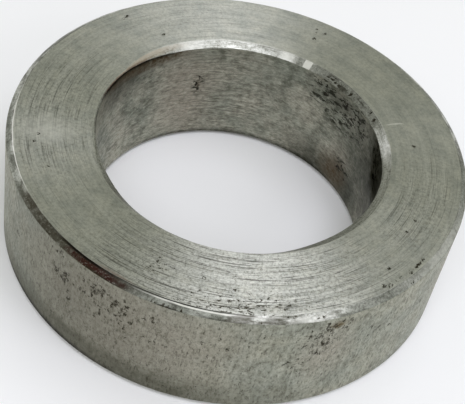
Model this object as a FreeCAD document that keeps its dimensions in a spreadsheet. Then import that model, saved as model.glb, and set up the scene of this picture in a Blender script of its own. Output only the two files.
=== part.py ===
import FreeCAD, Part
import os

import Sketcher

# A plain shaft collar: one thick steel ring, turned all over.  It has a straight
# bore, a straight outer wall, two flat faces square to the bore, and a small flat
# chamfer on each of its four edges.
#
# The collar lies on its lower face.  +Z runs up along the bore's axis, and the
# origin is on that axis, in the plane of the lower face.

# Driving dimensions, in millimetres: alias, size, what it measures.
DIMENSIONS = [
    ("outer_diameter", 56.0, "across the outer wall"),
    ("bore_diameter", 35.0, "across the bore, which is the shaft's size"),
    ("collar_width", 16.0, "from the lower face to the upper face"),
    ("rim_chamfer_radial", 0.8, "outer edges: taken off each face, towards the axis"),
    ("rim_chamfer_axial", 0.6, "outer edges: taken off the outer wall, along the axis"),
    ("bore_chamfer_radial", 1.0, "bore edges: taken off each face, away from the axis"),
    ("bore_chamfer_axial", 0.6, "bore edges: taken off the bore wall, along the axis"),
]
SHEET_NAME = "Dimensions"
PARTS_FOLDER = "parts"

# Numbers that the sketcher gives to the ends of a line, and to the origin and
# the horizontal axis of the sketch itself.
LINE_START = 1
LINE_END = 2
ORIGIN_AND_X_AXIS = -1


def make_dimension_sheet(doc):
    """Keep the driving dimensions in a spreadsheet, one named cell each."""
    sheet = doc.addObject("Spreadsheet::Sheet", SHEET_NAME)
    for row, (alias, size, meaning) in enumerate(DIMENSIONS, start=1):
        sheet.set(f"A{row}", alias)
        sheet.set(f"B{row}", str(size))
        sheet.set(f"C{row}", meaning)
        sheet.setAlias(f"B{row}", alias)
    return sheet


def origin_plane(body, role):
    """Find one of the body's own origin planes by its role."""
    for feature in body.Origin.OriginFeatures:
        if feature.Role == role:
            return feature
    raise RuntimeError(f"{body.Label} has no origin plane {role}")


def bound_distance(sketch, kind, start, end, name, expression):
    """Add a distance between two points, named and bound to an expression."""
    start_line, start_point = start
    end_line, end_point = end
    distance = Sketcher.Constraint(kind, start_line, start_point, end_line, end_point, 1.0)
    index = sketch.addConstraint(distance)
    sketch.renameConstraint(index, name)
    sketch.setExpression(f"Constraints.{name}", expression)


def draw_half_section(body):
    """Draw the ring's half section: eight lines, to the right of the bore's axis."""
    sketch = body.newObject("Sketcher::SketchObject", "HalfSection")
    sketch.AttachmentSupport = [(origin_plane(body, "XZ_Plane"), "")]
    sketch.MapMode = "FlatFace"

    # The corners run anticlockwise from the inner end of the lower face.  These
    # places only start the sketch off: its constraints move them.
    corners = [(20, 0), (26, 0), (28, 2), (28, 14), (26, 16), (20, 16), (18, 14), (18, 2)]
    names = [
        "lower_face",
        "lower_rim_chamfer",
        "outer_wall",
        "upper_rim_chamfer",
        "upper_face",
        "upper_bore_chamfer",
        "bore_wall",
        "lower_bore_chamfer",
    ]
    lines = {}
    for number, name in enumerate(names):
        start = FreeCAD.Vector(*corners[number], 0)
        end = FreeCAD.Vector(*corners[(number + 1) % len(corners)], 0)
        lines[name] = sketch.addGeometry(Part.LineSegment(start, end), False)

    for number, name in enumerate(names):
        next_name = names[(number + 1) % len(names)]
        join = Sketcher.Constraint(
            "Coincident", lines[name], LINE_END, lines[next_name], LINE_START
        )
        sketch.addConstraint(join)
    for name in ("lower_face", "upper_face"):
        sketch.addConstraint(Sketcher.Constraint("Horizontal", lines[name]))
    for name in ("outer_wall", "bore_wall"):
        sketch.addConstraint(Sketcher.Constraint("Vertical", lines[name]))
    on_base = Sketcher.Constraint(
        "PointOnObject", lines["lower_face"], LINE_START, ORIGIN_AND_X_AXIS
    )
    sketch.addConstraint(on_base)

    axis_point = (ORIGIN_AND_X_AXIS, LINE_START)
    bound_distance(
        sketch, "DistanceX", axis_point, (lines["outer_wall"], LINE_START),
        "outer_radius", f"{SHEET_NAME}.outer_diameter / 2",
    )
    bound_distance(
        sketch, "DistanceX", axis_point, (lines["bore_wall"], LINE_START),
        "bore_radius", f"{SHEET_NAME}.bore_diameter / 2",
    )
    bound_distance(
        sketch, "DistanceY", axis_point, (lines["upper_face"], LINE_START),
        "width", f"{SHEET_NAME}.collar_width",
    )

    # Each chamfer is set by the two lengths that it takes off its edge.  The
    # first point of each pair is the one further left or further down.
    chamfers = [
        ("lower_rim_chamfer", "rim", LINE_START, LINE_END, LINE_START, LINE_END),
        ("upper_rim_chamfer", "rim", LINE_END, LINE_START, LINE_START, LINE_END),
        ("upper_bore_chamfer", "bore", LINE_END, LINE_START, LINE_END, LINE_START),
        ("lower_bore_chamfer", "bore", LINE_START, LINE_END, LINE_END, LINE_START),
    ]
    for name, edge, left, right, lower, upper in chamfers:
        line = lines[name]
        bound_distance(
            sketch, "DistanceX", (line, left), (line, right),
            f"{name}_radial", f"{SHEET_NAME}.{edge}_chamfer_radial",
        )
        bound_distance(
            sketch, "DistanceY", (line, lower), (line, upper),
            f"{name}_axial", f"{SHEET_NAME}.{edge}_chamfer_axial",
        )
    return sketch


def make_collar_ring(doc):
    """Turn the half section through a full circle about the bore's axis."""
    body = doc.addObject("PartDesign::Body", "CollarRing")
    body.Label = "collar_ring"
    sketch = draw_half_section(body)
    turned = body.newObject("PartDesign::Revolution", "TurnedRing")
    turned.Profile = sketch
    turned.ReferenceAxis = (sketch, ["V_Axis"])
    turned.Angle = 360.0
    sketch.Visibility = False
    body.Tip = turned
    body.Placement = FreeCAD.Placement()
    return body


def check_document(doc):
    """Stop if any object of the document failed to compute."""
    for item in doc.Objects:
        if "Invalid" in item.State or "Error" in item.State:
            raise RuntimeError(f"{item.Label} failed: {item.State}")
        if item.isDerivedFrom("Sketcher::SketchObject") and item.solve() != 0:
            raise RuntimeError(f"{item.Label} does not solve")


def check_shape(part):
    """Stop unless a sub-part is one valid closed solid."""
    shape = part.Shape
    if shape.isNull() or not shape.isValid():
        raise RuntimeError(f"{part.Label} has no valid shape")
    if len(shape.Solids) != 1 or not shape.Solids[0].isClosed():
        raise RuntimeError(f"{part.Label} is not one closed solid")


def main():
    doc = FreeCAD.newDocument("ShaftCollar")
    make_dimension_sheet(doc)
    doc.recompute()
    parts = [make_collar_ring(doc)]
    doc.recompute()

    check_document(doc)
    for part in parts:
        check_shape(part)

    os.makedirs(PARTS_FOLDER, exist_ok=True)
    for part in parts:
        part.Shape.exportStep(os.path.join(PARTS_FOLDER, f"{part.Label}.step"))
        box = part.Shape.BoundBox
        print(
            f"{part.Label}: {part.Shape.Volume:.1f} mm3, "
            f"{box.XLength:.3f} x {box.YLength:.3f} x {box.ZLength:.3f} mm"
        )


main()
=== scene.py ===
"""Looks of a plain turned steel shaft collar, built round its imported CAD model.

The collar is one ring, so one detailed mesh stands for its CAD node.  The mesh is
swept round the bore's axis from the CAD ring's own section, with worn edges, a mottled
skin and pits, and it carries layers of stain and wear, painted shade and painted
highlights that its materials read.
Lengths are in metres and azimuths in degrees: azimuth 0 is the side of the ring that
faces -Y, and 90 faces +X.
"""

import math
from types import SimpleNamespace

import bpy
import numpy as np
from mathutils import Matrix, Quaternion, Vector, noise


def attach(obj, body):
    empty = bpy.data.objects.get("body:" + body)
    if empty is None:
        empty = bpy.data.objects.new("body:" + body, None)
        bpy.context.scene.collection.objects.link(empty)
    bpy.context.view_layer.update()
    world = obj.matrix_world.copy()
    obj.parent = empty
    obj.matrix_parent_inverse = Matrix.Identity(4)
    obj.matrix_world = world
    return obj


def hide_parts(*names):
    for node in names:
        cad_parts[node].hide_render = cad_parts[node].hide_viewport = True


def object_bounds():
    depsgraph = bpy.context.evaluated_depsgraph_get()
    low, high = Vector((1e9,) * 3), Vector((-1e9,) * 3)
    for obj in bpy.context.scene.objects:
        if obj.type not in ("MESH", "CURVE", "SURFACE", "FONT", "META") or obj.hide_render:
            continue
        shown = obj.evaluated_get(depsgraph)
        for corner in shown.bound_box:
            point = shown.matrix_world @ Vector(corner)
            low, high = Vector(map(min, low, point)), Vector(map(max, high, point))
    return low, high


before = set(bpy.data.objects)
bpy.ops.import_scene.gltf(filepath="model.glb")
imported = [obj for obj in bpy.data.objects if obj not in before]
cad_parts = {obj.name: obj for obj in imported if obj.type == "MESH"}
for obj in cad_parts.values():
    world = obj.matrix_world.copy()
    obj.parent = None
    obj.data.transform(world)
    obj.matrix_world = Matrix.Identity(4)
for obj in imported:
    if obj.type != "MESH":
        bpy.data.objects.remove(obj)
cad_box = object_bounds()

MM = 0.001
CAD_NODE = "collar_ring"
BODY = "root"

# ---------------------------------------------------------------- the ring's section

AZIMUTH_STEPS = 768
EDGE_RADIUS = 0.06 * MM       # the worn round on every edge between two surfaces
SKIN_DEPTH = 0.03 * MM        # the walls' mottled relief lies within this depth
WALL_SETBACK = 0.01 * MM      # the outer wall's rows lie this far inside the CAD wall
FACE_WAVE = 0.003 * MM        # how far the facing marks' waves rise and fall
PIT_DEPTH = 0.06 * MM
FACE_PIT_DEPTH = 0.015 * MM

# The section goes up the outer wall, inwards over the face and down the bore, and then
# back under the ring.  Each run has its surface and how many steps it is cut into.
RUNS = [
    ("lower_face", 3),
    ("lower_rim", 2),
    ("outer_wall", 43),
    ("rim", 6),
    ("face", 32),
    ("mouth", 5),
    ("bore_wall", 21),
    ("lower_mouth", 2),
]
CORNER_SHARE = 1.1            # the row on a run's far corner lies past the run itself

# The bore's upper chamfer was cut by hand.  Each uneven stretch of it has the azimuth of
# its middle, half its turn in degrees, and how steeply it sets in.
NARROW_LEFT = (-92.0, 50.0, 1.8)
DEEP_RIGHT = (99.0, 16.0, 1.0)
DEEP_NEAR = (-8.0, 62.0, 1.5)
NARROW_LEFT_LOSS = 0.68       # the share of its size that the narrow stretch lacks
DEEP_RIGHT_GAIN = 0.6         # the shares of its depth that the deep stretches gain
DEEP_NEAR_GAIN = 0.9

# How far each edge wanders, and the seed of its slow noise.  Its quick noise has the next
# seed.
EDGE_WANDER = {
    "mouth_top": (0.05 * MM, 1),
    "mouth_depth": (0.03 * MM, 3),
    "rim_top": (0.05 * MM, 5),
    "rim_depth": (0.05 * MM, 7),
    "mouth_low": (0.04 * MM, 9),
    "rim_low": (0.03 * MM, 11),
}
SLOW_WANDER = 0.35            # the wanders' sizes on a circle whose radius is 1
QUICK_WANDER = 0.04

COARSE_MOTTLE = 1.6 * MM
FINE_MOTTLE = 0.6 * MM
COARSE_SEED = 21
FINE_SEED = 22
WAVES_PER_MM = 1.4            # the facing waves, along the radius
WAVE_SEED = 31
COARSE_SHARE = 0.6            # of two noises put together, the coarse one's share

SEED_STEPS = (17.3, 5.1, 9.7)   # each seed moves the noise by this much more


def read_ring_sizes():
    """Read the ring's radii and heights from the corners of its CAD mesh."""
    corners = np.array([v.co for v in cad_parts[CAD_NODE].data.vertices])
    radius = np.hypot(corners[:, 0], corners[:, 1])
    height = corners[:, 2]
    close = 0.01 * MM
    outer = radius.max()
    bore = radius.min()
    top = height.max()
    face = radius[height > top - close]
    return SimpleNamespace(
        outer=outer,
        bore=bore,
        bottom=height.min(),
        top=top,
        width=top - height.min(),
        rim_radial=outer - face.max(),
        rim_axial=top - height[radius > outer - close].max(),
        mouth_radial=face.min() - bore,
        mouth_axial=top - height[radius < bore + close].max(),
    )


ring = read_ring_sizes()
azimuth = np.arange(AZIMUTH_STEPS) * 360.0 / AZIMUTH_STEPS - 180.0


def ease(share):
    """A smooth rise from 0 to 1 as share goes from 0 to 1, and flat beyond."""
    share = np.clip(share, 0.0, 1.0)
    return share * share * (3.0 - 2.0 * share)


def turn_from(azimuths, centre):
    """Degrees of turn from a central azimuth, from -180 to 180."""
    return (azimuths - centre + 180.0) % 360.0 - 180.0


def bump(azimuths, centre, half_turn):
    """A smooth rise to 1 at an azimuth, which falls to 0 half_turn away from it."""
    return ease(1.0 - np.abs(turn_from(azimuths, centre)) / half_turn)


def stretch(middle, half_turn, onset):
    """A smooth rise to 1 round a middle azimuth, with a flat top if onset is above 1."""
    return np.clip(onset * bump(azimuth, middle, half_turn), 0.0, 1.0)


def noise_field(points, size, seed):
    """Smooth noise of about -1 to 1 at each point, with features of about that size."""
    shift = Vector([seed * step for step in SEED_STEPS])
    values = [noise.noise(Vector(p) / size + shift) for p in points.reshape(-1, 3)]
    return np.array(values).reshape(points.shape[:-1])


def together(coarse, fine):
    """A coarse noise and a fine one put together."""
    return COARSE_SHARE * coarse + (1.0 - COARSE_SHARE) * fine


def wander(edge):
    """How far an edge strays from its true circle, in metres, at each azimuth."""
    amount, seed = EDGE_WANDER[edge]
    angle = np.radians(azimuth)
    circle = np.stack([np.sin(angle), -np.cos(angle), np.zeros_like(angle)], axis=-1)
    slow = noise_field(circle, SLOW_WANDER, seed)
    quick = noise_field(circle, QUICK_WANDER, seed + 1)
    return amount * together(slow, quick)


def section_corners():
    """The eight corners of the ring's section at every azimuth, anticlockwise."""
    even = np.ones(AZIMUTH_STEPS)
    narrow = 1.0 - NARROW_LEFT_LOSS * stretch(*NARROW_LEFT)
    deep_right = DEEP_RIGHT_GAIN * stretch(*DEEP_RIGHT)
    deep_near = DEEP_NEAR_GAIN * ease(stretch(*DEEP_NEAR))
    deep = 1.0 + deep_right + deep_near
    mouth_top = ring.mouth_radial * narrow + wander("mouth_top")
    mouth_depth = ring.mouth_axial * narrow * deep + wander("mouth_depth")
    rim_top = ring.rim_radial * even - np.abs(wander("rim_top"))
    rim_depth = ring.rim_axial * even + wander("rim_depth")
    mouth_low = ring.mouth_radial * even + wander("mouth_low")
    rim_low = ring.rim_radial * even + wander("rim_low")
    outer = (ring.outer - WALL_SETBACK) * even
    bore = (ring.bore + SKIN_DEPTH) * even
    top = ring.top * even
    bottom = ring.bottom * even
    return [
        (bore + mouth_low, bottom),
        (outer - rim_low, bottom),
        (outer, bottom + ring.rim_axial),
        (outer, top - rim_depth),
        (outer - rim_top, top),
        (bore + mouth_top, top),
        (bore, top - mouth_depth),
        (bore, bottom + ring.mouth_axial),
    ]


def section_grid():
    """Every row of the section: its places, normals, surface and share of its run."""
    corners = [np.stack(corner, axis=-1) for corner in section_corners()]
    places = []
    normals = []
    surfaces = []
    shares = []
    for number, (surface, steps) in enumerate(RUNS):
        start = corners[number]
        end = corners[(number + 1) % len(corners)]
        after = corners[(number + 2) % len(corners)]
        along = (end - start) / np.linalg.norm(end - start, axis=-1, keepdims=True)
        onward = (after - end) / np.linalg.norm(after - end, axis=-1, keepdims=True)
        normal = np.stack([along[:, 1], -along[:, 0]], axis=-1)
        next_normal = np.stack([onward[:, 1], -onward[:, 0]], axis=-1)
        first = start + along * EDGE_RADIUS
        last = end - along * EDGE_RADIUS
        for step in range(steps + 1):
            places.append(first + (last - first) * step / steps)
            normals.append(normal)
            surfaces.append(surface)
            shares.append(step / steps)
        # One row lies on the corner's worn round, halfway along its curve.
        onward_first = end + onward * EDGE_RADIUS
        places.append(0.25 * last + 0.5 * end + 0.25 * onward_first)
        blend = normal + next_normal
        normals.append(blend / np.linalg.norm(blend, axis=-1, keepdims=True))
        surfaces.append(surface)
        shares.append(CORNER_SHARE)
    return SimpleNamespace(
        places=np.array(places),
        normals=np.array(normals),
        surfaces=np.array(surfaces),
        shares=np.array(shares),
    )


def swing(radius_height):
    """Turn (radius, height) at each azimuth into points of the frame."""
    angle = np.radians(azimuth)
    radius = radius_height[..., 0]
    return np.stack(
        [radius * np.sin(angle), -radius * np.cos(angle), radius_height[..., 1]], axis=-1
    )


# ---------------------------------------------------------------- stains, wear, pits and painted light

# Patches of stain and wear, and of painted shade and painted highlights.  Each has its
# layer, surface, azimuth and half its turn in degrees, then its place and half its reach as
# shares of the surface's run, and its strength.  A strength above 1 makes a patch with a
# flat middle.
PATCHES = [
    # the rim's chamfer: dark on the left, then rusty, then worn dull, then painted highlights on
    # the right, and a painted highlight line along its left edge
    ("grime_and_shade", "rim", -45, 18, 0.6, 3.0, 1.6),
    ("grime_and_shade", "rim", -28, 20, 0.5, 3.0, 1.8),
    ("rust", "rim", -27, 20, 0.4, 1.6, 1.2),
    ("soot_and_shade", "rim", -30, 26, 0.95, 0.5, 1.1),
    ("soot_and_shade", "rim", -4, 32, CORNER_SHARE, 0.2, 1.8),
    ("soot_and_shade", "rim", -24, 10, 0.0, 0.3, 0.9),
    ("soot_and_shade", "rim", -8, 5, 0.0, 0.3, 1.5),
    ("scored", "rim", 4, 24, 0.5, 3.0, 1.6),
    ("scored", "rim", -30, 24, 0.5, 3.0, 1.0),
    ("dull", "rim", -10, 22, 0.5, 3.0, 3.0),
    ("dull", "rim", -75, 34, 0.3, 1.2, 1.0),
    ("dull", "rim", 66, 46, 0.5, 3.0, 3.0),
    ("highlight_and_scratch", "rim", -74, 30, CORNER_SHARE, 0.13, 1.8),
    ("highlight_and_scratch", "rim", 0, 26, 0.84, 0.16, 1.2),
    ("highlight_and_scratch", "rim", 24, 14, 0.4, 1.2, 0.4),
    ("highlight_and_scratch", "rim", 66, 40, 0.5, 3.0, 0.40),
    ("speckle", "rim", 12, 30, 0.5, 2.0, 0.85),
    ("speckle", "rim", -8, 8, 0.0, 0.5, 1.0),
    ("speckle", "rim", 52, 14, 0.4, 1.0, 0.9),
    # the face: scored and specked on the near side, painted highlights on the left and along its
    # left edge, one scratch
    ("scored", "face", 8, 62, 0.4, 1.6, 1.6),
    ("scored", "face", -84, 52, 0.4, 1.2, 0.7),
    ("scored", "face", 74, 36, 0.5, 0.8, 0.7),
    ("scored", "face", -155, 40, 0.4, 1.2, 0.35),
    ("speckle", "face", 8, 46, 0.1, 0.7, 0.9),
    ("speckle", "face", 6, 26, 0.08, 0.14, 1.0),
    ("speckle", "face", 10, 34, 0.6, 0.6, 0.5),
    ("speckle", "face", -14, 9, 0.45, 0.3, 1.0),
    ("speckle", "face", 54, 9, 0.05, 0.10, 1.0),
    ("speckle", "face", 70, 30, 0.35, 0.4, 0.35),
    ("speckle", "face", -65, 22, 0.35, 0.35, 0.45),
    ("highlight_and_scratch", "face", -76, 18, 0.45, 0.9, 0.75),
    ("highlight_and_scratch", "face", -76, 30, 0.0, 0.03, 0.8),
    ("highlight_and_scratch", "face", 114.5, 0.7, 0.80, 0.25, 1.8),
    ("rust", "face", -22, 9, 0.0, 0.06, 0.6),
    # the outer wall: darker on the left, painted shade low on the left and along its bottom
    # edge, specks above, rust on the right
    ("grime_and_shade", "outer_wall", -32, 50, 0.5, 3.0, 0.62),
    ("grime_and_shade", "outer_wall", -28, 66, 0.0, 0.45, 1.5),
    ("soot_and_shade", "outer_wall", -40, 50, 0.0, 0.07, 1.0),
    ("warm", "outer_wall", -18, 48, 0.6, 1.0, 1.3),
    ("warm", "outer_wall", 30, 13, 0.6, 0.6, 0.9),
    ("warm", "outer_wall", 72, 14, 0.7, 0.5, 0.8),
    ("speckle", "outer_wall", -22, 26, 0.75, 0.4, 1.0),
    ("speckle", "outer_wall", 0, 80, 0.5, 1.5, 0.5),
    ("speckle", "outer_wall", 28, 12, 0.75, 0.45, 1.2),
    ("speckle", "outer_wall", 30, 7, 0.92, 0.12, 1.5),
    ("speckle", "outer_wall", 46, 12, 0.7, 0.4, 0.5),
    ("rust", "outer_wall", 31, 7, 0.92, 0.14, 0.9),
    ("rust", "outer_wall", 26, 7, 0.75, 0.25, 0.6),
    # the bore's chamfer: dull and pitted on the right, painted highlights on the right and round
    # the back, tan over a painted shade line on the left
    ("dull", "mouth", 136, 28, 0.5, 3.0, 4.0),
    ("grime_and_shade", "mouth", 136, 16, 0.8, 1.2, 0.7),
    ("highlight_and_scratch", "mouth", 98, 28, 0.4, 1.5, 0.3),
    ("highlight_and_scratch", "mouth", 159, 2.2, 0.5, 3.0, 3.0),
    ("dull", "mouth", 162.5, 3, 0.5, 3.0, 0.9),
    ("highlight_and_scratch", "mouth", 168, 8, 0.5, 3.0, 0.5),
    ("highlight_and_scratch", "mouth", -150, 14, 0.5, 3.0, 0.45),
    ("scarred", "mouth", 138, 22, 0.6, 1.2, 1.4),
    ("speckle", "mouth", 140, 30, 0.6, 2.0, 0.7),
    ("speckle", "mouth", 175, 16, 0.5, 2.0, 0.5),
    ("dull", "mouth", -105, 45, 0.5, 3.0, 0.7),
    ("soot_and_shade", "mouth", -118, 44, CORNER_SHARE, 0.3, 1.6),
    ("highlight_and_scratch", "mouth", -130, 40, 0.2, 0.8, 0.42),
    ("warm", "mouth", -124, 42, 0.3, 1.2, 1.2),
    ("soot_and_shade", "mouth", -86, 26, 0.9, 0.5, 0.9),
    ("rust", "mouth", -112, 36, 0.75, 0.8, 1.5),
    # the bore: painted shade, black high on the right and darker down the right, with painted
    # shade lines along its top on the left and along its bottom edge; pitted under the chamfer,
    # stained on the left
    ("soot_and_shade", "bore_wall", 96, 27, 0.0, 0.7, 2.0),
    ("grime_and_shade", "bore_wall", 100, 55, 0.4, 1.0, 0.9),
    ("grime_and_shade", "bore_wall", 120, 26, 0.9, 0.7, 0.8),
    ("grime_and_shade", "bore_wall", 138, 26, 0.1, 0.22, 0.7),
    ("grime_and_shade", "bore_wall", 146, 30, 1.0, 0.55, 0.85),
    ("soot_and_shade", "bore_wall", -120, 44, 0.0, 0.06, 1.8),
    ("grime_and_shade", "bore_wall", -112, 34, 0.1, 0.3, 0.8),
    ("rust", "bore_wall", -124, 42, 0.0, 0.18, 2.0),
    ("rust", "bore_wall", 132, 24, 0.85, 0.45, 1.0),
    ("rust", "bore_wall", -155.5, 3, 0.42, 0.14, 0.9),
    ("warm", "bore_wall", -150, 22, 0.5, 0.8, 1.3),
    ("warm", "bore_wall", 130, 16, 0.8, 0.5, 1.0),
    ("scored", "bore_wall", -165, 34, 0.5, 1.0, 1.2),
    ("scored", "bore_wall", 112, 26, 0.3, 0.9, 1.0),
    ("scarred", "bore_wall", 136, 30, 0.12, 0.40, 2.4),
    ("scarred", "bore_wall", 126, 12, 0.72, 0.16, 1.2),
    ("scarred", "bore_wall", -155.5, 5, 0.42, 0.20, 1.4),
    ("speckle", "bore_wall", 130, 36, 0.2, 0.34, 0.9),
    ("speckle", "bore_wall", -155.5, 3, 0.42, 0.16, 1.0),
    ("speckle", "bore_wall", 160, 90, 0.5, 1.5, 0.35),
    ("soot_and_shade", "bore_wall", 180, 100, 1.0, 0.08, 1.5),
]
LAYERS = ["grime_and_shade", "rust", "soot_and_shade", "dull", "highlight_and_scratch", "warm", "scored", "scarred", "speckle"]

# Clusters of pits: surface, azimuth, half the turn in degrees, place, half the reach as a
# share of the run, how many pits, and the largest one in millimetres.
PIT_CLUSTERS = [
    ("face", 12, 8, 0.14, 0.06, 8, 0.3),
    ("face", 0, 24, 0.35, 0.30, 6, 0.25),
    ("face", 52, 8, 0.05, 0.04, 10, 0.32),
    ("face", 62, 14, 0.35, 0.30, 3, 0.25),
    ("face", -62, 12, 0.35, 0.18, 4, 0.25),
    ("face", -140, 6, 0.20, 0.06, 3, 0.6),
    ("face", -144, 3, 0.78, 0.04, 2, 0.5),
    ("face", 163, 2, 0.34, 0.14, 4, 0.6),
    ("face", 115, 12, 0.45, 0.30, 1, 0.5),
    ("outer_wall", -37, 2, 0.94, 0.02, 5, 0.6),
    ("outer_wall", -36, 3, 0.74, 0.07, 10, 1.0),
    ("outer_wall", -24, 6, 0.83, 0.06, 11, 0.9),
    ("outer_wall", -25, 9, 0.62, 0.12, 12, 0.4),
    ("outer_wall", -52, 6, 0.55, 0.06, 4, 0.6),
    ("outer_wall", -18, 8, 0.84, 0.09, 9, 0.6),
    ("outer_wall", -13, 8, 0.62, 0.14, 6, 0.5),
    ("outer_wall", 6, 9, 0.75, 0.12, 6, 0.5),
    ("outer_wall", 31, 4, 0.90, 0.06, 14, 0.5),
    ("outer_wall", 26, 4, 0.70, 0.14, 12, 0.5),
    ("outer_wall", 22, 3, 0.50, 0.08, 8, 0.5),
    ("outer_wall", 45, 5, 0.68, 0.10, 8, 0.4),
    ("outer_wall", 62, 3, 0.62, 0.04, 3, 0.5),
    ("bore_wall", 140, 18, 0.12, 0.09, 12, 0.8),
    ("bore_wall", 130, 6, 0.72, 0.08, 8, 0.6),
    ("bore_wall", -155.5, 2, 0.42, 0.12, 4, 0.6),
    ("rim", -8, 4, 0.0, 0.2, 7, 0.5),
    ("rim", 24, 10, 0.7, 0.3, 4, 0.4),
    ("mouth", 135, 18, 0.6, 0.4, 8, 0.6),
]
PIT_SEED = 7
SMALLEST_PIT = 0.4            # the smallest pit of a cluster, as a share of the largest
PIT_STRETCH = (0.8, 1.8)      # the square of this is a pit's length over its width
LEAST_HALF_PIT = 0.22         # millimetres: about a cell of the mesh, so no pit is lost
PIT_EDGE = 1.5                # a pit's slope ends this many times its half size away


def run_lengths():
    """The length of each surface's run, and its mean radius, in millimetres."""
    outer = ring.outer / MM
    bore = ring.bore / MM
    wall = (ring.width - ring.rim_axial * 2) / MM
    return {
        "face": (outer - bore - (ring.rim_radial + ring.mouth_radial) / MM, 0.5 * (outer + bore)),
        "outer_wall": (wall, outer),
        "bore_wall": (wall, bore),
        "rim": (math.hypot(ring.rim_radial, ring.rim_axial) / MM, outer),
        "mouth": (math.hypot(ring.mouth_radial, ring.mouth_axial) / MM, bore),
    }


def pit_layer(grid):
    """How strongly each row and azimuth lies in a pit, from 0 to 1."""
    chance = np.random.RandomState(PIT_SEED)
    lengths = run_lengths()
    layer = np.zeros((len(grid.surfaces), AZIMUTH_STEPS))
    for surface, middle, half_turn, place, reach, count, largest in PIT_CLUSTERS:
        length, radius = lengths[surface]
        rows = grid.surfaces == surface
        for _ in range(count):
            pit_azimuth = middle + half_turn * chance.uniform(-1.0, 1.0)
            pit_place = place + reach * chance.uniform(-1.0, 1.0)
            half_size = 0.5 * largest * chance.uniform(SMALLEST_PIT, 1.0)
            stretched = chance.uniform(*PIT_STRETCH)
            across = (grid.shares[rows, None] - pit_place) * length
            around = np.radians(turn_from(azimuth, pit_azimuth))[None, :] * radius
            # A pit is drawn out along the marks on the face, and across them elsewhere.
            if surface == "face":
                half_around = half_size * stretched
                half_across = half_size / stretched
            else:
                half_around = half_size / stretched
                half_across = half_size * stretched
            away = np.hypot(
                around / max(half_around, LEAST_HALF_PIT),
                across / max(half_across, LEAST_HALF_PIT),
            )
            layer[rows] = np.maximum(layer[rows], np.clip(PIT_EDGE - away, 0.0, 1.0))
    return layer


def patch_layers(grid):
    """The strength of each layer of stain, wear and painted light at every row and azimuth."""
    layers = {name: np.zeros((len(grid.surfaces), AZIMUTH_STEPS)) for name in LAYERS}
    for name, surface, middle, half_turn, place, reach, strength in PATCHES:
        rows = grid.surfaces == surface
        across = ease(1.0 - np.abs(grid.shares[rows] - place) / reach)
        patch = strength * across[:, None] * bump(azimuth, middle, half_turn)[None, :]
        layers[name][rows] = np.maximum(layers[name][rows], np.clip(patch, 0.0, 1.0))
    return layers


def skin_relief(points, grid):
    """How deep the skin lies below the section's rows: the facing waves and the mottle."""
    depth = np.zeros(points.shape[:2])
    walls = np.isin(grid.surfaces, ["outer_wall", "bore_wall"])
    coarse = noise_field(points[walls], COARSE_MOTTLE, COARSE_SEED)
    fine = noise_field(points[walls], FINE_MOTTLE, FINE_SEED)
    mottle = np.clip(together(coarse, fine), -1.0, 1.0)
    depth[walls] = SKIN_DEPTH * 0.5 * (1.0 + mottle)
    # The bore's rows lie behind its true wall, so its skin comes forward of them.
    depth[grid.surfaces == "bore_wall"] -= SKIN_DEPTH
    faces = np.isin(grid.surfaces, ["face", "lower_face"])
    x = points[faces][..., 0]
    y = points[faces][..., 1]
    radius = np.hypot(x, y)
    turn = np.stack([x / radius, y / radius, radius / MM * WAVES_PER_MM], axis=-1)
    waves = noise_field(turn, 1.0, WAVE_SEED)
    depth[faces] = FACE_WAVE * (1.0 + np.clip(waves, -1.0, 1.0))
    return depth


# ---------------------------------------------------------------- the ring's mesh

LOOKS = ["faced_steel", "rim_steel", "outer_skin", "mouth_steel", "bored_steel"]
LOOK_OF_SURFACE = {
    "lower_face": "faced_steel",
    "lower_rim": "rim_steel",
    "outer_wall": "outer_skin",
    "rim": "rim_steel",
    "face": "faced_steel",
    "mouth": "mouth_steel",
    "bore_wall": "bored_steel",
    "lower_mouth": "mouth_steel",
}


def make_ring():
    """Build the ring's mesh, with a material and its layers on every surface."""
    grid = section_grid()
    smooth = swing(grid.places)
    layers = patch_layers(grid)
    layers["pit"] = pit_layer(grid)
    pit_depths = np.where(grid.surfaces == "face", FACE_PIT_DEPTH, PIT_DEPTH)
    depth = skin_relief(smooth, grid) + pit_depths[:, None] * layers["pit"]
    points = swing(grid.places - grid.normals * depth[..., None])

    row_count = len(grid.surfaces)
    index = np.arange(row_count * AZIMUTH_STEPS).reshape(row_count, AZIMUTH_STEPS)
    next_row = np.roll(index, -1, axis=0)
    next_turn = np.roll(index, -1, axis=1)
    next_both = np.roll(next_row, -1, axis=1)
    quads = np.stack([index, next_turn, next_both, next_row], axis=-1).reshape(-1, 4)

    mesh = bpy.data.meshes.new("collar_ring_skin")
    mesh.from_pydata(points.reshape(-1, 3).tolist(), [], quads.tolist())
    row_looks = [LOOKS.index(LOOK_OF_SURFACE[surface]) for surface in grid.surfaces]
    looks = np.repeat(row_looks, AZIMUTH_STEPS).astype(np.int32)
    mesh.polygons.foreach_set("material_index", looks)
    mesh.polygons.foreach_set("use_smooth", np.ones(len(looks), dtype=bool))
    for name, values in layers.items():
        layer = mesh.attributes.new(name, "FLOAT", "POINT")
        layer.data.foreach_set("value", values.reshape(-1).astype(np.float32))
    mesh.update()
    piece = bpy.data.objects.new("turned_ring", mesh)
    bpy.context.scene.collection.objects.link(piece)
    return piece


# ---------------------------------------------------------------- shader helpers

# The Mix node's colour sockets share their names with its others, so they go by number.
MIX_SHARE = 0
MIX_FIRST = 6
MIX_SECOND = 7
MIX_RESULT = 2

ALONG_TURNING = 0.25          # a quarter turn, so that highlights cross the turned marks
RELIEF_DEPTH = 0.01 * MM      # what a change of 1 in a material's height stands for


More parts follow.
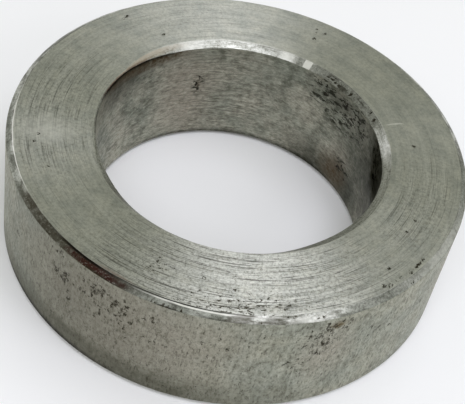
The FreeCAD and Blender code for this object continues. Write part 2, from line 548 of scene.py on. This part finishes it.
class Nodes:
    """Short ways to add the nodes of one material and to wire them together."""

    def __init__(self, name):
        self.material = bpy.data.materials.new(name)
        self.material.use_nodes = True
        self.tree = self.material.node_tree
        self.tree.nodes.clear()
        self.output = self.tree.nodes.new("ShaderNodeOutputMaterial")
        self.here = self.add("ShaderNodeTexCoord").outputs["Object"]
        self.tone = None

    def add(self, kind, settings=None, inputs=None):
        """A new node, with its settings made and its inputs fed."""
        node = self.tree.nodes.new(kind)
        for name, value in (settings or {}).items():
            setattr(node, name, value)
        for name, value in (inputs or {}).items():
            self.feed(node.inputs[name], value)
        return node

    def feed(self, socket, value):
        """Link a socket to another node's output, or set it to a plain value."""
        if isinstance(value, bpy.types.NodeSocket):
            self.tree.links.new(value, socket)
        else:
            socket.default_value = value

    def math(self, operation, first, second=0.0):
        """One operation, such as "ADD", on one value or two."""
        node = self.add("ShaderNodeMath", {"operation": operation})
        self.feed(node.inputs[0], first)
        self.feed(node.inputs[1], second)
        return node.outputs[0]

    def noise(self, vector, detail=3.0, roughness=0.6):
        """Smooth noise from 0 to 1, with one feature in each unit of the vector."""
        node = self.add(
            "ShaderNodeTexNoise",
            inputs={"Vector": vector, "Scale": 1.0, "Detail": detail, "Roughness": roughness},
        )
        return node.outputs["Fac"]

    def steps(self, value, low, high, to_low=0.0, to_high=1.0):
        """Spread value between low and high over to_low and to_high, and stop there."""
        node = self.add(
            "ShaderNodeMapRange",
            {"clamp": True},
            {"Value": value, "From Min": low, "From Max": high,
             "To Min": to_low, "To Max": to_high},
        )
        return node.outputs["Result"]

    def mix(self, share, first, second):
        """Two colours mixed, by the second one's share."""
        node = self.add("ShaderNodeMix", {"data_type": "RGBA"})
        self.feed(node.inputs[MIX_SHARE], share)
        self.feed(node.inputs[MIX_FIRST], first)
        self.feed(node.inputs[MIX_SECOND], second)
        return node.outputs[MIX_RESULT]

    def paint(self, share, over, strength=1.0):
        """Lay a colour over the tone so far, by a share from 0 to 1."""
        if strength != 1.0:
            share = self.math("MULTIPLY", share, strength)
        self.tone = self.mix(share, self.tone, over)

    def spread(self, across, up):
        """Coordinates with features of these sizes in millimetres: level, and upwards."""
        size = (1.0 / (across * MM), 1.0 / (across * MM), 1.0 / (up * MM))
        node = self.add("ShaderNodeVectorMath", {"operation": "MULTIPLY"})
        self.feed(node.inputs[0], self.here)
        self.feed(node.inputs[1], size)
        return node.outputs["Vector"]

    def turned(self, around, across):
        """Coordinates that follow the tool's path, so that noise in them makes turned marks.

        around and across are the features' sizes: degrees of turn, and millimetres of
        radius or height.
        """
        split = self.add("ShaderNodeSeparateXYZ", inputs={"Vector": self.here})
        square_x = self.math("MULTIPLY", split.outputs["X"], split.outputs["X"])
        square_y = self.math("MULTIPLY", split.outputs["Y"], split.outputs["Y"])
        radius = self.math("SQRT", self.math("ADD", square_x, square_y))
        turn_x = self.math("DIVIDE", split.outputs["X"], radius)
        turn_y = self.math("DIVIDE", split.outputs["Y"], radius)
        per_radian = 1.0 / math.radians(around)
        section = self.math("ADD", radius, split.outputs["Z"])
        joined = self.add(
            "ShaderNodeCombineXYZ",
            inputs={
                "X": self.math("MULTIPLY", turn_x, per_radian),
                "Y": self.math("MULTIPLY", turn_y, per_radian),
                "Z": self.math("MULTIPLY", section, 1.0 / (across * MM)),
            },
        )
        return joined.outputs["Vector"]

    def layer(self, name):
        """One of the mesh's layers, as it is."""
        return self.add("ShaderNodeAttribute", {"attribute_name": name}).outputs["Fac"]

    def patchy(self, name, size, low=0.1, high=0.9):
        """One of the mesh's layers, broken up by noise of a size in millimetres."""
        cloud = self.noise(self.spread(size, size), detail=4.0, roughness=0.7)
        broken = self.math("MULTIPLY", self.layer(name), self.math("ADD", cloud, 0.5))
        return self.steps(broken, low, high)

    def specks(self, vector, fewest, most):
        """Crisp dark specks, as thick as the speckle layer says, from 0 to 1.

        They show where noise is above a limit, which is fewest where the layer is 0, and
        most where it is 1.
        """
        limit = self.steps(self.layer("speckle"), 0.0, 1.0, fewest, most)
        cloud = self.noise(vector, detail=4.0, roughness=0.7)
        return self.steps(self.math("SUBTRACT", cloud, limit), 0.0, 0.03)

    def scars(self):
        """Dark dents drawn out along the turning, from 0 to 1."""
        cloud = self.noise(self.turned(5.0, 0.6), detail=4.0, roughness=0.7)
        dents = self.steps(cloud, 0.43, 0.48, 1.0, 0.0)
        return self.math("MULTIPLY", dents, self.patchy("scarred", 2.0, 0.3, 0.9))

    def pitted(self):
        """The mesh's pits, with ragged edges and crooked scratches in them, from 0 to 1."""
        cloud = self.noise(self.spread(0.45, 0.45), detail=4.0, roughness=0.7)
        ragged = self.math("MULTIPLY", self.math("SUBTRACT", cloud, 0.5), 3.0)
        pits = self.steps(self.math("ADD", self.layer("pit"), ragged), 0.75, 1.0)
        smooth = self.noise(self.spread(1.1, 1.1), detail=3.0, roughness=0.6)
        crooked = self.math("ABSOLUTE", self.math("SUBTRACT", smooth, 0.5))
        lines = self.steps(crooked, 0.015, 0.045, 1.0, 0.0)
        scratches = self.math("MULTIPLY", lines, self.steps(self.layer("pit"), 0.2, 0.6))
        return self.math("MAXIMUM", pits, scratches)


def colour(red, green, blue):
    """A colour given as the eye sees it, from 0 to 255, in Blender's linear values."""
    def linear(value):
        value = value / 255.0
        return value / 12.92 if value <= 0.04045 else ((value + 0.055) / 1.055) ** 2.4

    return (linear(red), linear(green), linear(blue), 1.0)


# Colours that several materials share, and then those of each surface by itself.
PIT_COLOUR = colour(58, 54, 42)
# dark lines of dirt, and painted shade along edges
SOOT_AND_SHADE_COLOUR = colour(34, 30, 26)
# painted highlights, and the one real scratch on the face
HIGHLIGHT_AND_SCRATCH_COLOUR = colour(226, 226, 218)

FACE = SimpleNamespace(
    cool=colour(168, 171, 163),
    warm=colour(202, 202, 190),
    arc=colour(210, 211, 202),
    cut=colour(104, 105, 97),
    groove=colour(62, 60, 52),
    dark_grain=colour(104, 103, 92),
    light_grain=colour(222, 223, 214),
    rust=colour(150, 118, 108),
)
SKIN = SimpleNamespace(
    cool=colour(156, 159, 147),
    warm=colour(168, 168, 153),
    dark_mottle=colour(116, 117, 103),
    light_mottle=colour(186, 187, 174),
    dark_grain=colour(94, 93, 78),
    light_grain=colour(198, 199, 186),
    tan=colour(165, 160, 147),
    # darkens the left side, and is painted shade low on the left
    grime_and_shade=colour(88, 87, 73),
    rust=colour(96, 82, 50),
)
BORE = SimpleNamespace(
    cool=colour(150, 154, 141),
    warm=colour(186, 184, 169),
    dark_mottle=colour(90, 92, 80),
    dark_grain=colour(82, 81, 68),
    light_grain=colour(208, 207, 192),
    cut=colour(84, 82, 72),
    tan=colour(172, 166, 152),
    # grime on the left, and painted shade down the right
    grime_and_shade=colour(60, 61, 51),
    rust=colour(84, 69, 48),
    # painted shade, black
    soot_and_shade=colour(22, 22, 17),
    scar=colour(36, 37, 27),
    speck=colour(46, 44, 36),
    pit=colour(44, 40, 34),
    glint=colour(255, 255, 255),
    # the glint under the painted shade
    shaded_glint=colour(96, 96, 84),
)
CHAMFER = SimpleNamespace(
    dark_grain=colour(92, 91, 80),
    light_grain=colour(214, 214, 204),
    tan=colour(180, 167, 146),
    rust=colour(70, 46, 40),
)
RIM = SimpleNamespace(
    dark_line=colour(122, 123, 114),
    light_line=colour(200, 201, 193),
    dull=colour(152, 155, 145),
    grime_and_shade=colour(86, 82, 72),
)
MOUTH = SimpleNamespace(
    dark_line=colour(146, 147, 138),
    light_line=colour(178, 179, 171),
    dull=colour(152, 154, 143),
    grime_and_shade=colour(100, 102, 90),
)


def steel_shader(nodes, roughness, height=None, strength=1.0, anisotropy=0.0, glint=None):
    """The metal itself, with the turned grain's direction round the bore's axis.

    height and strength make a fine relief, and without a height there is none.  glint is
    the colour of what the steel mirrors at a grazing angle, white if not given.
    """
    shader = nodes.add(
        "ShaderNodeBsdfPrincipled",
        inputs={"Base Color": nodes.tone, "Roughness": roughness, "Metallic": 1.0},
    )
    if anisotropy:
        shader.inputs["Anisotropic"].default_value = anisotropy
        shader.inputs["Anisotropic Rotation"].default_value = ALONG_TURNING
        tangent = nodes.add("ShaderNodeTangent", {"direction_type": "RADIAL", "axis": "Z"})
        nodes.feed(shader.inputs["Tangent"], tangent.outputs["Tangent"])
    if glint:
        nodes.feed(shader.inputs["Specular Tint"], glint)
    if height:
        relief = nodes.add(
            "ShaderNodeBump",
            inputs={"Height": height, "Strength": strength, "Distance": RELIEF_DEPTH},
        )
        nodes.feed(shader.inputs["Normal"], relief.outputs["Normal"])
    nodes.feed(nodes.output.inputs["Surface"], shader.outputs["BSDF"])
    return nodes.material


# ---------------------------------------------------------------- materials

# In each material the noises come first, and then the coats of colour, from the bare steel
# up.  steps() names the noise's values at which a mark begins and is full.

def faced_steel():
    """The two flat faces: fine concentric facing marks, and a grey-green tone."""
    nodes = Nodes("faced_steel")
    scored = nodes.steps(nodes.layer("scored"), 0.0, 1.0, 0.16, 1.0)
    rough = nodes.steps(nodes.layer("scored"), 0.0, 1.0, 0.4, 1.15)
    fine = nodes.noise(nodes.turned(8.0, 0.12), detail=2.0)
    lines = nodes.noise(nodes.turned(16.0, 0.12), detail=1.0)
    arcs = nodes.noise(nodes.turned(24.0, 0.6))
    blotch = nodes.noise(nodes.spread(2.2, 2.2), detail=6.0, roughness=0.75)
    grain = nodes.noise(nodes.spread(0.4, 0.4), detail=4.0, roughness=0.85)
    cut = nodes.math("MULTIPLY", nodes.steps(fine, 0.36, 0.56, 1.0, 0.0), scored)
    groove = nodes.math("MULTIPLY", nodes.steps(lines, 0.60, 0.66), scored)
    light_arc = nodes.math("MULTIPLY", nodes.steps(arcs, 0.40, 0.62, 0.0, 0.8), rough)
    dark_grain = nodes.math("MULTIPLY", nodes.steps(grain, 0.36, 0.52, 0.62, 0.0), rough)
    light_grain = nodes.math("MULTIPLY", nodes.steps(grain, 0.54, 0.68, 0.0, 0.5), rough)

    nodes.tone = nodes.mix(nodes.steps(blotch, 0.36, 0.64), FACE.cool, FACE.warm)
    nodes.paint(light_arc, FACE.arc)
    nodes.paint(cut, FACE.cut, strength=0.34)
    nodes.paint(dark_grain, FACE.dark_grain)
    nodes.paint(light_grain, FACE.light_grain)
    nodes.paint(groove, FACE.groove, strength=0.70)
    # painted highlights on the left of the face and along its left edge, and one real scratch
    nodes.paint(nodes.patchy("highlight_and_scratch", 1.2, 0.45, 0.95), HIGHLIGHT_AND_SCRATCH_COLOUR)
    nodes.paint(nodes.patchy("rust", 0.8), FACE.rust)
    nodes.paint(nodes.specks(nodes.turned(1.8, 0.30), 0.76, 0.53), PIT_COLOUR)
    nodes.paint(nodes.pitted(), PIT_COLOUR)

    roughness = nodes.steps(cut, 0.0, 1.0, 0.38, 0.60)
    return steel_shader(nodes, roughness, anisotropy=0.9)


def outer_skin():
    """The outer wall: dull, mottled and pitted, with painted shade along its bottom."""
    nodes = Nodes("outer_skin")
    blotch = nodes.noise(nodes.spread(6.0, 6.0))
    mottle = nodes.noise(nodes.spread(1.8, 2.4), detail=5.0, roughness=0.65)
    grain = nodes.noise(nodes.spread(0.45, 0.7), detail=4.0, roughness=0.85)
    strokes = nodes.noise(nodes.spread(0.28, 0.85), detail=3.0, roughness=0.7)

    nodes.tone = nodes.mix(nodes.steps(blotch, 0.40, 0.60), SKIN.cool, SKIN.warm)
    nodes.paint(nodes.steps(mottle, 0.34, 0.54, 0.42, 0.0), SKIN.dark_mottle)
    nodes.paint(nodes.steps(mottle, 0.52, 0.70, 0.0, 0.3), SKIN.light_mottle)
    nodes.paint(nodes.patchy("warm", 2.0, 0.2, 1.2), SKIN.tan)
    nodes.paint(nodes.steps(grain, 0.36, 0.50, 0.65, 0.0), SKIN.dark_grain)
    nodes.paint(nodes.steps(grain, 0.54, 0.70, 0.0, 0.5), SKIN.light_grain)
    # darker on the left, and painted shade low down on the left
    nodes.paint(nodes.patchy("grime_and_shade", 2.0, 0.0, 1.3), SKIN.grime_and_shade)
    nodes.paint(nodes.steps(strokes, 0.57, 0.65, 0.0, 0.6), PIT_COLOUR)
    # painted shade along the wall's bottom edge
    nodes.paint(nodes.patchy("soot_and_shade", 1.0, 0.2, 1.0), SOOT_AND_SHADE_COLOUR)
    nodes.paint(nodes.patchy("rust", 0.5, 0.60, 0.95), SKIN.rust)
    nodes.paint(nodes.specks(nodes.spread(0.55, 0.85), 0.74, 0.56), PIT_COLOUR)
    nodes.paint(nodes.pitted(), PIT_COLOUR)

    roughness = nodes.steps(grain, 0.3, 0.7, 0.60, 0.48)
    return steel_shader(nodes, roughness, grain, strength=0.6)


def bored_steel():
    """The bore's wall: darker and warmer, with fine marks round it, and painted shade."""
    nodes = Nodes("bored_steel")
    scored = nodes.steps(nodes.layer("scored"), 0.0, 1.0, 0.25, 1.0)
    blotch = nodes.noise(nodes.spread(5.0, 5.0))
    mottle = nodes.noise(nodes.turned(6.0, 1.4), detail=5.0, roughness=0.7)
    grain = nodes.noise(nodes.turned(2.4, 0.32), detail=4.0, roughness=0.8)
    fine = nodes.noise(nodes.turned(6.0, 0.20), detail=2.0)
    cut = nodes.math("MULTIPLY", nodes.steps(fine, 0.38, 0.56, 1.0, 0.0), scored)
    # painted shade: black high on the right, and dark lines along the top on the left and along
    # the bottom
    soot_and_shade = nodes.patchy("soot_and_shade", 0.8, 0.5, 1.2)
    scars = nodes.scars()

    nodes.tone = nodes.mix(nodes.steps(blotch, 0.38, 0.62), BORE.cool, BORE.warm)
    nodes.paint(nodes.steps(mottle, 0.36, 0.54, 0.62, 0.0), BORE.dark_mottle)
    nodes.paint(nodes.patchy("warm", 1.5, 0.1, 1.1), BORE.tan)
    nodes.paint(nodes.steps(grain, 0.34, 0.52, 0.55, 0.0), BORE.dark_grain)
    nodes.paint(nodes.steps(grain, 0.54, 0.70, 0.0, 0.5), BORE.light_grain)
    nodes.paint(cut, BORE.cut, strength=0.5)
    # grime on the left, and painted shade down the right side
    nodes.paint(nodes.patchy("grime_and_shade", 1.6, 0.2, 1.0), BORE.grime_and_shade)
    nodes.paint(nodes.patchy("rust", 0.6, 0.5, 1.15), BORE.rust)
    # the painted shade
    nodes.paint(soot_and_shade, BORE.soot_and_shade)
    nodes.paint(scars, BORE.scar, strength=0.9)
    nodes.paint(nodes.specks(nodes.turned(2.6, 0.55), 0.76, 0.52), BORE.speck)
    nodes.paint(nodes.pitted(), BORE.pit)

    roughness = nodes.steps(grain, 0.3, 0.7, 0.60, 0.44)
    height = nodes.math("SUBTRACT", grain, nodes.math("ADD", cut, scars))
    # under the painted shade the steel's glint is dimmed too
    glint = nodes.mix(soot_and_shade, BORE.glint, BORE.shaded_glint)
    return steel_shader(nodes, roughness, height, strength=0.6, anisotropy=0.5, glint=glint)


def chamfered_steel(name, colours):
    """A chamfer: cut smoother than the faces, shiny where not worn, with painted highlights and
    shade.
    """
    nodes = Nodes(name)
    fine = nodes.noise(nodes.turned(5.0, 0.16), detail=3.0)
    lines = nodes.noise(nodes.turned(9.0, 0.20), detail=1.0)
    grain = nodes.noise(nodes.spread(0.35, 0.35), detail=4.0, roughness=0.85)
    groove = nodes.math("MULTIPLY", nodes.steps(lines, 0.54, 0.60), nodes.layer("scored"))
    worn = nodes.patchy("dull", 1.0, 0.3, 0.9)

    nodes.tone = nodes.mix(nodes.steps(fine, 0.42, 0.56), colours.dark_line, colours.light_line)
    nodes.paint(worn, colours.dull, strength=0.75)
    nodes.paint(nodes.steps(grain, 0.36, 0.52, 0.7, 0.0), CHAMFER.dark_grain)
    nodes.paint(nodes.patchy("grime_and_shade", 0.8, 0.4, 1.1), colours.grime_and_shade)
    nodes.paint(nodes.patchy("rust", 0.5, 0.6, 1.0), CHAMFER.rust)
    nodes.paint(nodes.steps(grain, 0.54, 0.68, 0.0, 0.35), CHAMFER.light_grain)
    # painted highlights
    nodes.paint(nodes.patchy("highlight_and_scratch", 1.2, 0.2, 0.6), HIGHLIGHT_AND_SCRATCH_COLOUR)
    nodes.paint(nodes.patchy("warm", 1.0, 0.3, 1.5), CHAMFER.tan)
    # dark lines along the rim's edges, and a painted shade line on the left of the bore's chamfer
    nodes.paint(nodes.patchy("soot_and_shade", 0.7, 0.5, 0.95), SOOT_AND_SHADE_COLOUR)
    nodes.paint(groove, PIT_COLOUR, strength=0.7)
    nodes.paint(nodes.specks(nodes.turned(1.4, 0.26), 0.76, 0.56), PIT_COLOUR)
    nodes.paint(nodes.scars(), PIT_COLOUR, strength=0.7)
    nodes.paint(nodes.pitted(), PIT_COLOUR)

    shine = nodes.steps(fine, 0.3, 0.7, 0.45, 0.32)
    roughness = nodes.math("ADD", shine, nodes.math("MULTIPLY", worn, 0.35))
    return steel_shader(nodes, roughness, fine, strength=0.4, anisotropy=0.6)


# ---------------------------------------------------------------- stage and light

FLOOR_HALF_WIDTH = 2.0
FLOOR_COLOUR = (0.93, 0.93, 0.93, 1.0)
FLOOR_ROUGHNESS = 0.9


def make_floor():
    """A wide pale floor under the collar."""
    half = FLOOR_HALF_WIDTH
    corners = [(-half, -half, 0.0), (half, -half, 0.0), (half, half, 0.0), (-half, half, 0.0)]
    mesh = bpy.data.meshes.new("floor")
    mesh.from_pydata(corners, [], [(0, 1, 2, 3)])
    floor = bpy.data.objects.new("floor", mesh)
    floor.location.z = cad_box[0].z
    bpy.context.scene.collection.objects.link(floor)
    nodes = Nodes("pale_floor")
    matte = nodes.add(
        "ShaderNodeBsdfPrincipled",
        inputs={"Base Color": FLOOR_COLOUR, "Roughness": FLOOR_ROUGHNESS},
    )
    nodes.feed(nodes.output.inputs["Surface"], matte.outputs["BSDF"])
    mesh.materials.append(nodes.material)


# Soft square panels that all face the ring: elevation and azimuth in degrees, and watts.
PANELS = {
    "front_panel": (50.0, -9.0, 0.37),
    "top_panel": (70.0, 36.0, 0.41),
    "back_panel": (70.0, 146.0, 0.19),
    "right_panel": (34.0, 62.0, 0.22),
    "side_panel": (28.0, 112.0, 0.10),
    "left_panel": (28.0, 238.0, 0.14),
}
PANEL_DISTANCE = 0.40
PANEL_SIZE = 0.17
PANEL_COLOUR = (0.92, 0.92, 1.03)
ROOM_COLOUR = (0.98, 1.0, 0.895, 1.0)
ROOM_STRENGTH = 0.47


def make_panel(name, elevation, panel_azimuth, power):
    """A soft square studio light that faces the ring from above the horizon."""
    data = bpy.data.lights.new(name, "AREA")
    data.shape = "SQUARE"
    data.size = PANEL_SIZE
    data.energy = power
    data.color = PANEL_COLOUR
    panel = bpy.data.objects.new(name, data)
    rise = math.radians(elevation)
    turn = math.radians(panel_azimuth)
    outwards = Vector((
        math.cos(rise) * math.sin(turn),
        -math.cos(rise) * math.cos(turn),
        math.sin(rise),
    ))
    panel.location = Vector((0.0, 0.0, ring.top)) + outwards * PANEL_DISTANCE
    panel.rotation_euler = (-outwards).to_track_quat("-Z", "Y").to_euler()
    bpy.context.scene.collection.objects.link(panel)


def make_lights():
    """Panels from the front over the top to the back, three low ones, and a pale room."""
    for name, (elevation, panel_azimuth, power) in PANELS.items():
        make_panel(name, elevation, panel_azimuth, power)
    world = bpy.data.worlds.new("pale_room")
    world.use_nodes = True
    backdrop = world.node_tree.nodes["Background"]
    backdrop.inputs["Color"].default_value = ROOM_COLOUR
    backdrop.inputs["Strength"].default_value = ROOM_STRENGTH
    bpy.context.scene.world = world


# ---------------------------------------------------------------- camera

CAMERA_SENSOR = 36.0                      # the sensor's width in millimetres
CAMERA_LENS = 91.68                       # millimetres
CAMERA_DISTANCE = 5.3048                  # from the ring's middle, in outer radii
CAMERA_ELEVATION = math.radians(44.6)     # above the horizon
CAMERA_ROLL = math.radians(12.11)         # about its own line of sight
CAMERA_TILT = math.radians(-0.89)         # puts the ring's middle above the frame's
CAMERA_PAN = math.radians(-0.034)         # and level with it


def make_camera():
    """The camera looks down on the near side of the ring, and is rolled a little."""
    data = bpy.data.cameras.new("camera")
    data.sensor_width = CAMERA_SENSOR
    data.lens = CAMERA_LENS
    camera = bpy.data.objects.new("camera", data)
    bpy.context.scene.collection.objects.link(camera)
    bpy.context.scene.camera = camera
    back = Vector((0.0, -math.cos(CAMERA_ELEVATION), math.sin(CAMERA_ELEVATION)))
    middle = Vector((0.0, 0.0, (ring.bottom + ring.top) / 2))
    camera.location = middle + back * CAMERA_DISTANCE * ring.outer
    rolled = Quaternion((0.0, 0.0, 1.0), CAMERA_ROLL)
    tilted = Quaternion((1.0, 0.0, 0.0), CAMERA_TILT)
    panned = Quaternion((0.0, 1.0, 0.0), CAMERA_PAN)
    camera.rotation_mode = "QUATERNION"
    camera.rotation_quaternion = (-back).to_track_quat("-Z", "Y") @ rolled @ tilted @ panned


# ---------------------------------------------------------------- the scene

piece = make_ring()
looks = {
    "faced_steel": faced_steel(),
    "rim_steel": chamfered_steel("rim_steel", RIM),
    "outer_skin": outer_skin(),
    "mouth_steel": chamfered_steel("mouth_steel", MOUTH),
    "bored_steel": bored_steel(),
}
for look in LOOKS:
    piece.data.materials.append(looks[look])
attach(piece, BODY)
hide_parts(CAD_NODE)
make_floor()
make_lights()
make_camera()
bpy.context.scene.view_settings.view_transform = "Standard"
